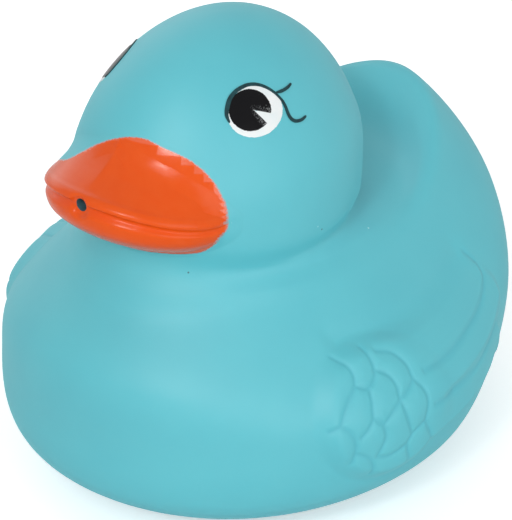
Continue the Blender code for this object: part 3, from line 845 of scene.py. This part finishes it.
class Recipe:
    """A material's shader, with short ways to add the nodes that vary it."""

    def __init__(self, name):
        self.material = bpy.data.materials.new(name)
        self.material.use_nodes = True
        self.nodes = self.material.node_tree.nodes
        self.links = self.material.node_tree.links
        self.shader = self.nodes["Principled BSDF"]
        self.place = self.nodes.new("ShaderNodeTexCoord").outputs["Object"]

    def set(self, **values):
        """Sets the shader's sockets to numbers and colours that are the same all over."""
        for name, value in values.items():
            self.shader.inputs[name.replace("_", " ")].default_value = value

    def noise(self, scale, detail=2.0):
        node = self.nodes.new("ShaderNodeTexNoise")
        node.inputs["Scale"].default_value = scale
        node.inputs["Detail"].default_value = detail
        self.links.new(self.place, node.inputs["Vector"])
        return node.outputs["Fac"]

    def stored(self, name):
        """The number that store kept for each point."""
        node = self.nodes.new("ShaderNodeAttribute")
        node.attribute_name = name
        return node.outputs["Fac"]

    def maths(self, operation, first, second):
        node = self.nodes.new("ShaderNodeMath")
        node.operation = operation
        for value, socket in ((first, node.inputs[0]), (second, node.inputs[1])):
            if isinstance(value, (int, float)):
                socket.default_value = value
            else:
                self.links.new(value, socket)
        return node.outputs["Value"]

    def ramp(self, value, low, high, to_low=0.0, to_high=1.0):
        """Spreads the values between low and high over another range, evenly and clamped."""
        node = self.nodes.new("ShaderNodeMapRange")
        node.inputs["From Min"].default_value = low
        node.inputs["From Max"].default_value = high
        node.inputs["To Min"].default_value = to_low
        node.inputs["To Max"].default_value = to_high
        self.links.new(value, node.inputs["Value"])
        return node.outputs["Result"]

    def mix(self, share, first, second):
        node = self.nodes.new("ShaderNodeMix")
        node.data_type = "RGBA"
        self.links.new(share, node.inputs["Factor"])
        for value, socket in ((first, node.inputs["A"]), (second, node.inputs["B"])):
            if isinstance(value, tuple):
                socket.default_value = (*value, 1)
            else:
                self.links.new(value, socket)
        return node.outputs["Result"]

    def specks(self, scale, size, share):
        """Sparse round specks: a share of the cells of a pattern each have one."""
        cells = self.nodes.new("ShaderNodeTexVoronoi")
        cells.inputs["Scale"].default_value = scale
        self.links.new(self.place, cells.inputs["Vector"])
        near = self.ramp(cells.outputs["Distance"], size, 0.6 * size)
        picked = self.nodes.new("ShaderNodeSeparateColor")
        self.links.new(cells.outputs["Color"], picked.inputs["Color"])
        return self.maths("MULTIPLY", near, self.maths("LESS_THAN", picked.outputs["Red"], share))

    def bump(self, height, depth):
        """Adds relief of a depth in metres, on top of any that is there."""
        node = self.nodes.new("ShaderNodeBump")
        node.inputs["Distance"].default_value = depth
        self.links.new(height, node.inputs["Height"])
        if self.shader.inputs["Normal"].is_linked:
            self.links.new(self.shader.inputs["Normal"].links[0].from_socket, node.inputs["Normal"])
        self.links.new(node.outputs["Normal"], self.shader.inputs["Normal"])

    def use(self, value, name):
        """Feeds a varying value to one of the shader's sockets."""
        self.links.new(value, self.shader.inputs[name])


# Linear colours of the vinyl and of the orange paint
VINYL = (0.090, 0.50, 0.572)
# The deep vinyl colour tints the vinyl at random, and also stands as painted shade in the wing's grooves
VINYL_DEEP = (0.030, 0.36, 0.46)
ORANGE = (0.75, 0.082, 0.004)
ORANGE_WORN = (0.82, 0.16, 0.03)


def duck_material(name, gloss):
    """Soft vinyl, with orange paint wherever the stored paint depth is above nothing.

    The gloss is the same all over, so bare and painted faces each have a material of their own.
    """
    recipe = Recipe(name)
    mottle = recipe.noise(60.0, 4.0)
    fine = recipe.noise(2600.0, 3.0)
    colour = recipe.mix(recipe.ramp(mottle, 0.3, 0.7, 0.0, 0.16), VINYL, VINYL_DEEP)
    # Painted shade: the vinyl is darkened towards its deep colour in the wing's grooves
    colour = recipe.mix(recipe.ramp(recipe.stored("groove_and_shade"), 0.0, 1.0, 0.0, 0.30), colour, VINYL_DEEP)
    colour = recipe.mix(recipe.specks(150.0, 0.035, 0.10), colour, (0.02, 0.10, 0.13))
    colour = recipe.mix(recipe.specks(190.0, 0.05, 0.08), colour, (0.45, 0.72, 0.76))
    ragged = recipe.ramp(recipe.noise(2600.0, 4.0), 0.3, 0.7, -1.0, 1.0)
    edge = recipe.maths("ADD", recipe.stored("paint"), recipe.maths("MULTIPLY", ragged, 0.09))
    paint = recipe.ramp(edge, -0.13, 0.13)
    thin = recipe.ramp(recipe.noise(420.0, 3.0), 0.35, 0.75, 0.0, 0.12)
    orange = recipe.mix(thin, ORANGE, ORANGE_WORN)
    recipe.use(recipe.mix(paint, colour, orange), "Base Color")
    recipe.use(recipe.ramp(paint, 0.0, 1.0, 0.55, 0.20), "Roughness")
    recipe.use(recipe.ramp(paint, 0.0, 1.0, 0.22, 0.0), "Subsurface Weight")
    recipe.set(Subsurface_Radius=(0.5, 1.0, 1.0), Subsurface_Scale=0.0015, Specular_IOR_Level=gloss)
    recipe.bump(fine, 0.000012)
    recipe.bump(recipe.noise(300.0, 2.0), 0.00003)
    recipe.bump(paint, 0.00004)
    return recipe.material


def shaded_inside_material():
    recipe = Recipe("bare_vinyl_inside_and_shade")
    # Bare vinyl, coloured far darker than the vinyl outside: painted shade down the squirt hole
    recipe.use(recipe.mix(recipe.noise(900.0), (0.035, 0.09, 0.11), (0.08, 0.17, 0.20)), "Base Color")
    recipe.set(Roughness=0.6)
    return recipe.material


def white_material():
    recipe = Recipe("white_eye_paint")
    uneven = recipe.ramp(recipe.noise(350.0, 3.0), 0.3, 0.7)
    colour = recipe.mix(uneven, (0.76, 0.83, 0.84), (0.84, 0.86, 0.86))
    recipe.use(colour, "Base Color")
    recipe.set(Roughness=0.4)
    recipe.bump(recipe.noise(3000.0), 0.00001)
    return recipe.material


def pupil_material():
    """Glossy black, worn through in fine specks beside the white wedge."""
    recipe = Recipe("black_pupil_paint")
    grain = recipe.ramp(recipe.noise(4200.0, 3.0), 0.45, 0.68)
    worn = recipe.maths("MULTIPLY", recipe.stored("wear"), grain)
    worn = recipe.ramp(worn, 0.12, 0.55, 0.0, 0.55)
    colour = recipe.mix(worn, (0.004, 0.004, 0.005), (0.5, 0.52, 0.53))
    colour = recipe.mix(recipe.specks(1300.0, 0.16, 0.12), colour, (0.12, 0.13, 0.13))
    recipe.use(colour, "Base Color")
    recipe.set(Roughness=0.2, Specular_IOR_Level=0.1)
    recipe.bump(recipe.noise(2600.0), 0.00001)
    return recipe.material


def lid_material():
    recipe = Recipe("thin_dark_line_paint")
    thin = recipe.ramp(recipe.noise(900.0, 3.0), 0.3, 0.8)
    colour = recipe.mix(thin, (0.008, 0.03, 0.036), (0.012, 0.07, 0.08))
    recipe.use(colour, "Base Color")
    recipe.set(Roughness=0.45, Specular_IOR_Level=0.2)
    return recipe.material


def floor_material():
    """Pale and matt, with a glow for the camera alone, so it looks white and keeps the shadow."""
    recipe = Recipe("pale_floor")
    recipe.use(recipe.mix(recipe.noise(8.0), (0.9, 0.9, 0.9), (0.92, 0.92, 0.92)), "Base Color")
    recipe.set(Roughness=0.9, Emission_Color=(1, 1, 1, 1))
    path = recipe.nodes.new("ShaderNodeLightPath")
    recipe.use(recipe.ramp(path.outputs["Is Camera Ray"], 0.0, 1.0, 0.0, FLOOR_GLOW), "Emission Strength")
    return recipe.material


# Stage, lamps and camera


def white_world():
    """Soft light all round, seen as plain white by the camera and in reflections."""
    world = bpy.data.worlds.new("studio")
    bpy.context.scene.world = world
    world.use_nodes = True
    nodes, links = world.node_tree.nodes, world.node_tree.links
    light = nodes["Background"]
    light.inputs["Color"].default_value = (1, 1, 1, 1)
    light.inputs["Strength"].default_value = WORLD_LEVEL
    seen = nodes.new("ShaderNodeBackground")
    seen.inputs["Color"].default_value = (1, 1, 1, 1)
    seen.inputs["Strength"].default_value = 1.0
    path = nodes.new("ShaderNodeLightPath")
    either = path.outputs["Is Camera Ray"]
    for name in ("Is Glossy Ray", "Is Transmission Ray"):
        node = nodes.new("ShaderNodeMath")
        node.operation = "MAXIMUM"
        links.new(either, node.inputs[0])
        links.new(path.outputs[name], node.inputs[1])
        either = node.outputs["Value"]
    mix = nodes.new("ShaderNodeMixShader")
    links.new(either, mix.inputs["Fac"])
    links.new(light.outputs["Background"], mix.inputs[1])
    links.new(seen.outputs["Background"], mix.inputs[2])
    links.new(mix.outputs["Shader"], nodes["World Output"].inputs["Surface"])


def add_floor():
    mesh = bpy.data.meshes.new("floor")
    half = FLOOR_HALF_SIZE
    corners = [(-half, -half, 0), (half, -half, 0), (half, half, 0), (-half, half, 0)]
    mesh.from_pydata(corners, [], [(0, 1, 2, 3)])
    floor = bpy.data.objects.new("floor", mesh)
    bpy.context.scene.collection.objects.link(floor)
    floor.location.z = FLOOR_Z
    mesh.materials.append(floor_material())


def add_lamps():
    for lamp in LAMPS:
        data = bpy.data.lights.new(lamp.name, "AREA")
        data.size = lamp.size
        data.energy = lamp.power
        light = bpy.data.objects.new(lamp.name, data)
        bpy.context.scene.collection.objects.link(light)
        light.location = lamp.place
        aim = Vector(LIT_PLACE) - light.location
        light.rotation_euler = aim.to_track_quat("-Z", "Y").to_euler()


def place_camera():
    azimuth, elevation = math.radians(CAMERA_AZIMUTH), math.radians(CAMERA_ELEVATION)
    back = Vector((
        math.sin(azimuth) * math.cos(elevation),
        -math.cos(azimuth) * math.cos(elevation),
        math.sin(elevation),
    ))
    data = bpy.data.cameras.new("camera")
    data.sensor_width = SENSOR
    data.sensor_fit = "AUTO"
    data.lens = SENSOR * CAMERA_PIXELS / PHOTO_LONG_SIDE
    data.clip_start = 0.01
    camera = bpy.data.objects.new("camera", data)
    bpy.context.scene.collection.objects.link(camera)
    camera.location = (Vector(CAMERA_TARGET) + back * CAMERA_DISTANCE) * MM
    camera.rotation_euler = (-back).to_track_quat("-Z", "Y").to_euler()
    bpy.context.scene.camera = camera


def main():
    coats = [duck_material("satin_vinyl", 0.85), duck_material("orange_bill_paint", 0.2)]
    skin = make_skin(coats)
    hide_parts("duck")
    bill = make_bill(coats, shaded_inside_material())
    fillet = make_root_fillet(bill, skin, coats)
    pieces = [(skin, "vinyl"), (bill, "bill_paint"), (fillet, "bill_paint")]

    white, black, lid_black = white_material(), pupil_material(), lid_material()
    head = surface_of(skin)
    for name, side, lift, forward in (
        ("left_eye", 1, 0.0, 0.0),
        ("right_eye", -1, FAR_EYE_LIFT, FAR_EYE_FORWARD),
    ):
        eye = make_eye(name, EyePlane(head, side, lift, forward), white, black, lid_black)
        pieces += zip(eye, ("eye_white", "eye_black", "eye_black"))
    for piece, slot in pieces:
        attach(piece, "root")

    white_world()
    add_floor()
    add_lamps()
    place_camera()
    bpy.context.scene.view_settings.view_transform = "Standard"


main()
